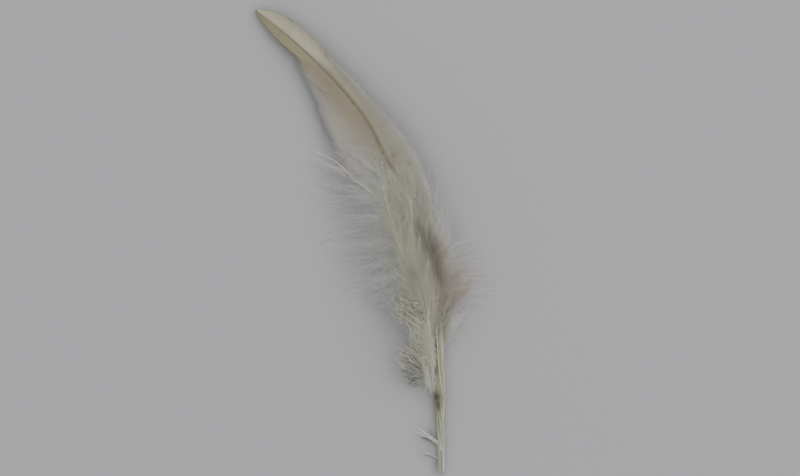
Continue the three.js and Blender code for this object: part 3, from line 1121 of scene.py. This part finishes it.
def familyCurves(family):
    curves = []
    count, perLock, side = family["count"], family["perLock"], family["side"]
    scatter = family["scatter"]
    for lock in range(count):
        reachShare, bow, tipHeight = family["layers"][lock % len(family["layers"])]
        middle = lock / max(count - 1, 1)
        spread = draw.uniform(-1, 1, perLock) * family["spread"] / count
        share = np.clip(middle + spread, 0, 1)
        centre, radius, along, right = stemAt(family["carrier"], between(family["stations"], share))
        start = centre + side * right * radius * family["rootShare"]
        start[:, 2] += (family["lift"] + draw.uniform(*lockChance["rootHeights"], perLock)) * radius[:, 0]
        tipShare = np.clip(middle + spread * family["wisp"], 0, 1)
        end = splineAt(family["tips"], tipShare * (len(family["tips"]) - 1))
        tipHeights = np.full(perLock, tipHeight) + (start[:, 2] if family["fromRoot"] else 0)
        end = np.column_stack([end, tipHeights])
        shortening = np.abs(draw.normal(0, lockChance["lengths"], perLock))
        reach = reachShare * np.maximum(1 - shortening, family["shortest"])
        end[:, :2] = start[:, :2] + (end[:, :2] - start[:, :2]) * reach[:, None]
        end[:, 2] = start[:, 2] + (end[:, 2] - start[:, 2]) * reach**2
        end += draw.normal(0, 1, (perLock, 3)) * scatter * lockChance["scatter"] * reach[:, None]
        length = np.linalg.norm(end - start, axis=-1, keepdims=True)
        leave = family["leave"] + draw.normal(0, family["leaveSpread"], perLock)
        heading = turned(along, -side * leave)
        rise = start + heading * length / 3
        bend = end + (start + heading * length / 2 - end) * 2 / 3
        bend[:, :2] += draw.normal(0, 1, (perLock, 2)) * scatter * lockChance["bendScatter"]
        bend[:, 2] = end[:, 2] + (start[:, 2] - end[:, 2]) * bendDrop + 2 * bow
        bend[:, 2] += draw.normal(0, lockChance["bendHeight"], perLock)
        curves.append(np.stack([start, rise, bend, end], 1))
    return np.vstack(curves)


def growFamily(settings):
    family = dict(plainLock, **settings)
    curves = familyCurves(family)
    most = lockChance["lockShade"]
    lockShade = np.repeat(draw.uniform(-most, most, family["count"]), family["perLock"])
    shade = family["shade"] + lockShade + draw.normal(0, lockChance["barbShade"], len(curves))
    return growBarbs(curves, family["barb"], np.clip(shade, 0, 1))


fan = growFamily(leftDown) + growFamily(edgeWisps)
buildPiece("leftDown", fan, duskyMaterial, "left_vane")
buildPiece("leftHaze", growFamily(leftHaze), duskyMaterial, "left_vane")
wisps = growFamily(topWisps) + growFamily(vaneSkirt)
wisps += growStrays(longBarbs, featheryStrand)
buildPiece("leftWisps", wisps, downMaterial, "left_vane")
clumps = growFamily(upperClump) + growFamily(lowerClump)
clumps += growStrays(clumpBarbs, mattedStrand)
for tangle in tangles:
    clumps += growStrays(tangledBarbs(tangle), mattedStrand, dullest=0.2)
buildPiece("leftClumps", clumps, strandMaterial, "left_vane")
fuzz = growFamily(lowerFuzz) + growFamily(upperFuzz)
buildPiece("clumpFuzz", fuzz, downMaterial, "left_vane")
tuft = growFamily(rightDown) + growStrays(tuftBarbs, featheryStrand)
buildPiece("rightDown", tuft, downMaterial, "right_vane")
buildPiece("coverLeft", growFamily(coverLeft), downMaterial, "left_vane")
buildPiece("coverRight", growFamily(coverRight), downMaterial, "right_vane")
buildPiece("shaftCover", growFamily(shaftCover), downMaterial, "right_vane")
buildPiece("edgeTuft", growFamily(edgeTuft), downMaterial, "right_vane")
plume = growFamily(plumeLeft) + growFamily(plumeRight) + growFamily(clumpBand)
buildPiece("afterfeatherPlume", plume, downMaterial, "afterfeather")
crest = growFamily(crestLeft) + growFamily(crestRight)
buildPiece("afterfeatherCrest", crest, downMaterial, "afterfeather")
strips = growFamily(stripLeft) + growFamily(stripRight)
for band in (stemBand, outerBand):
    strips += growStrays(tangledBarbs(band), ribbonBarb, dullest=0.5)
buildPiece("afterfeatherStrips", strips, stripMaterial, "afterfeather")
buildPiece("basalBarbs", growStrays(basalBarbs, featheryStrand), downMaterial, "shaft")
buildPiece("quillHighlightAndShadeLines", growStrays(quillHighlightAndShadeLines, mattedStrand), quillHighlightAndShadeMaterial, "shaft")

# The shaft and the plume's own stem.
quill = {
    "sides": 20,
    "cuts": 170,
    "wall": 0.45,  # of the open end, in its radius
    "hollowDepth": 0.012,  # in the shaft's length
    "pitPlace": 2.8,  # in rows of the shaft
    "pitSize": (1.3, 4.6, 1.8),
    "pitToLeft": 0.65,
    "roughness": 0.32,
}
bareStem = {
    "sides": 10,
    "cuts": 40,
    "slimness": 0.4,  # the rest of the stem's width is matted down
    "sink": 0.5,
    "foot": (-2.55, 20.5, 2.4, 0.1),  # takes the place of the stem's first row
    "stops": [(0, (0.74, 0.74, 0.62)), (1, (0.80, 0.79, 0.70))],
    "roughness": 0.6,
}
hornLook = {
    "streakScale": 60,
    "streakStretch": (30, 1, 30),
    "streakStops": [(0.35, (0.66, 0.66, 0.54)), (0.65, (1, 1, 1))],
    # brown of the pit's lining; in and around the pit and in the slit along the rachis it is also painted
    # shade
    "brown": (0.16, 0.11, 0.08),
    "subsurface": 0.25,
    "subsurfaceDepth": 0.0008,
}
smoothAngle = math.radians(50)


def meshPoints(obj):
    flat = np.zeros(len(obj.data.vertices) * 3)
    obj.data.vertices.foreach_get("co", flat)
    return flat.reshape(-1, 3)


def roundAlong(obj, carrier):  # lays a rod of radius 1 and length 1 along a stem
    points = meshPoints(obj)
    last = len(carrier["rows"]) - 1
    centre, radius, along, right = stemAt(carrier, points[:, 2] * last)
    placed = centre + right * points[:, 1:2] * radius
    placed[:, 2] += points[:, 0] * radius[:, 0]
    obj.data.vertices.foreach_set("co", ((placed + drawingToFrame) * mm).ravel())


def markPlaces(obj, carrier):  # tells the material how far along a point is, and how much brown stain and painted shade it takes
    points = meshPoints(obj) / mm - drawingToFrame
    rowHeights = [row[1] for row in carrier["rows"]]
    place = np.interp(points[:, 1], rowHeights, np.linspace(0, 1, len(rowHeights)))
    for key, value in (("place", place), ("stainAndShade", stainAndShadeAt(points))):
        obj.data.attributes.new(key, "FLOAT", "POINT").data.foreach_set("value", value.astype(np.float32))


def hollowEnd(obj):  # the small opening in the quill's end
    clearInside("FACE")
    for face in obj.data.polygons:
        face.select = face.normal.z < -0.9
    bpy.ops.object.mode_set(mode="EDIT")
    bpy.ops.mesh.inset(thickness=quill["wall"])
    bpy.ops.mesh.extrude_region_move(TRANSFORM_OT_translate={"value": (0, 0, quill["hollowDepth"])})
    bpy.ops.object.mode_set(mode="OBJECT")


def cutPit(obj):
    centre, radius, along, right = stemAt(shaft, quill["pitPlace"])
    middle = centre - right * quill["pitToLeft"]
    middle[2] += radius[0]
    bpy.ops.object.select_all(action="DESELECT")
    bpy.ops.mesh.primitive_uv_sphere_add(segments=24, ring_count=16, radius=0.5 * mm)
    ball = bpy.context.object
    ball.scale = quill["pitSize"]
    ball.location = (middle + drawingToFrame) * mm
    bpy.ops.object.transform_apply()
    selectOnly(obj)
    cut = obj.modifiers.new("pit", "BOOLEAN")
    cut.operation = "DIFFERENCE"
    cut.object = ball
    bpy.ops.object.modifier_apply(modifier=cut.name)
    bpy.data.objects.remove(ball)


def hornMaterial(name, stops, roughness):
    material, tree, principled = newMaterial(name)
    colour = rampNode(tree, attributeNode(tree, "place"), stops)
    noise = noiseNode(tree, hornLook["streakScale"], hornLook["streakStretch"])
    streaks = rampNode(tree, noise, hornLook["streakStops"])
    colour = mixNode(tree, 1.0, colour, streaks, "MULTIPLY")
    colour = mixNode(tree, attributeNode(tree, "stainAndShade"), colour, hornLook["brown"])
    tree.links.new(colour, principled.inputs["Base Color"])
    principled.inputs["Roughness"].default_value = roughness
    principled.inputs["Subsurface Weight"].default_value = hornLook["subsurface"]
    principled.inputs["Subsurface Scale"].default_value = hornLook["subsurfaceDepth"]
    return material


quillStops = [
    (0.0, (0.72, 0.73, 0.72)), (0.06, (0.66, 0.68, 0.64)),
    (0.15, (0.64, 0.68, 0.54)), (0.22, (0.68, 0.68, 0.58)),
    (0.36, (0.65, 0.64, 0.59)), (0.46, (0.40, 0.34, 0.26)),
    (0.6, (0.35, 0.295, 0.21)), (1.0, (0.36, 0.31, 0.17)),
]


def buildShaft():
    rod = modelRod(quill["sides"], quill["cuts"])
    hollowEnd(rod)
    roundAlong(rod, shaft)
    cutPit(rod)
    markPlaces(rod, shaft)
    rod.name = "quillAndRachis"
    rod.data.materials.append(hornMaterial("quillHorn", quillStops, quill["roughness"]))
    bpy.ops.object.shade_smooth_by_angle(angle=smoothAngle)
    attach(rod, "root")
    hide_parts("shaft")
    print("shaft:", len(rod.data.polygons), "faces")


def buildStem():
    rod = modelRod(bareStem["sides"], bareStem["cuts"])
    sink, slimness = bareStem["sink"], bareStem["slimness"]
    slimRows = [(x, y, z - sink, radius * slimness) for x, y, z, radius in stem["rows"]]
    slim = dict(stem, rows=[bareStem["foot"], *slimRows[1:]])
    roundAlong(rod, slim)
    markPlaces(rod, slim)
    rod.name = "afterfeatherStem"
    rod.data.materials.append(hornMaterial("stemHorn", bareStem["stops"], bareStem["roughness"]))
    bpy.ops.object.shade_smooth_by_angle(angle=smoothAngle)
    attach(rod, "root")
    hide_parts("afterfeather")
    print("afterfeather's stem:", len(rod.data.polygons), "faces")


buildShaft()
buildStem()

# Floor, light and camera.
studio = {
    "viewMiddle": (-11.2, 60.8),  # what the camera looks down on, in the drawing
    "viewWidth": 208.0,  # mm across the picture
    "height": 600.0,  # mm from the floor to the camera
    "sensor": 36.0,
    "clipStart": 0.01,
    "floorSize": 6,  # metres, as the key light's place and size are
    "floorColour": (0.60, 0.60, 0.605),
    "floorRoughness": 0.9,
    "floorSpecular": 0.1,
    "keyPlace": (0.95, 0.75, 1.3),
    "keySize": 2.4,
    "keyPower": 7.6,
    "skyColour": (0.98, 0.985, 1.0),
    "skyStrength": 0.53,
    "bounces": 24,  # in down, light goes from hair to hair many times
    "bouncesOff": 14,
    "bouncesThrough": 16,
}


def buildStudio():
    clearSelection()
    bpy.ops.mesh.primitive_plane_add(size=studio["floorSize"])
    floor = bpy.context.object
    floor.name = "floor"
    paper, tree, principled = newMaterial("floorPaper")
    principled.inputs["Base Color"].default_value = (*studio["floorColour"], 1)
    principled.inputs["Roughness"].default_value = studio["floorRoughness"]
    principled.inputs["Specular IOR Level"].default_value = studio["floorSpecular"]
    floor.data.materials.append(paper)

    middle = (np.array([*studio["viewMiddle"], 0.0]) + drawingToFrame) * mm
    bpy.ops.object.light_add(type="AREA", location=studio["keyPlace"])
    key = bpy.context.object
    key.data.shape = "DISK"
    key.data.size = studio["keySize"]
    key.data.energy = studio["keyPower"]
    aim = np.array(studio["keyPlace"]) - middle
    tilt = math.acos(aim[2] / np.linalg.norm(aim))
    key.rotation_euler = (tilt, 0, math.atan2(aim[1], aim[0]) + math.pi / 2)

    sky = bpy.data.worlds.new("softRoom")
    sky.use_nodes = True
    background = sky.node_tree.nodes["Background"]
    background.inputs["Color"].default_value = (*studio["skyColour"], 1)
    background.inputs["Strength"].default_value = studio["skyStrength"]
    bpy.context.scene.world = sky

    bpy.ops.object.camera_add(location=(middle[0], middle[1], studio["height"] * mm), rotation=(0, 0, 0))
    camera = bpy.context.object
    camera.data.sensor_width = studio["sensor"]
    camera.data.lens = studio["sensor"] * studio["height"] / studio["viewWidth"]
    camera.data.clip_start = studio["clipStart"]
    bpy.context.scene.camera = camera
    scene = bpy.context.scene
    scene.view_settings.view_transform = "Standard"
    scene.cycles.max_bounces = studio["bounces"]
    scene.cycles.diffuse_bounces = studio["bouncesOff"]
    scene.cycles.transmission_bounces = studio["bouncesThrough"]


buildStudio()
print("studio built")
